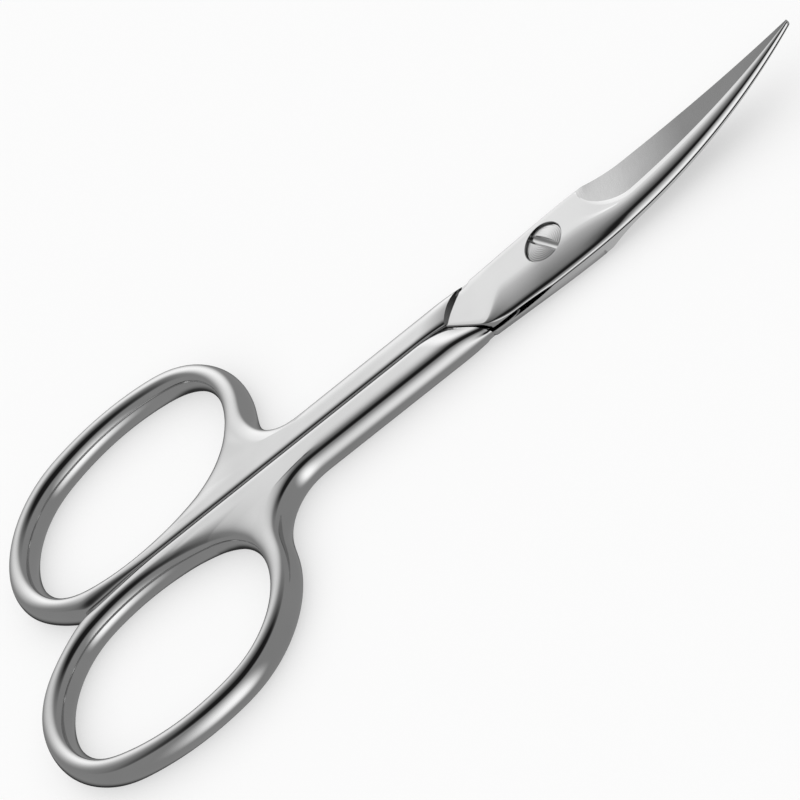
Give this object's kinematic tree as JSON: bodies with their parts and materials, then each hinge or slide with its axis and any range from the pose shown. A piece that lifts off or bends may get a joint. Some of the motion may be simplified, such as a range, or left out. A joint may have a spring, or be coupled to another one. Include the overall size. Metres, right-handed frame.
{
  "type": "cuticle scissors",
  "caption": "Small scissors with curved tapered blades, a slotted pivot screw and oval finger rings, all in polished steel.",
  "frame": {"origin": "on the surface that the closed scissors lie on, under the middle of their bounding box", "axes": "+X from the finger rings to the blade tip, +Z along the pivot, out of the screw head's side"},
  "size_m": [0.0974, 0.0446, 0.0059],
  "materials": {
    "polished_steel": "mirror polished stainless steel",
    "screw_steel": "turned stainless steel"
  },
  "bodies": {
    "rear": {"rear_half": "polished_steel", "pivot_screw": "screw_steel"},
    "front": {"front_half": "polished_steel"}
  },
  "joints": [
    {"name": "opening", "type": "hinge", "parent": "rear", "child": "front", "pos_m": [0.01775, 0.0008, 0.0016], "axis": [0, 0, -1], "range_deg": [0, 60]}
  ]
}
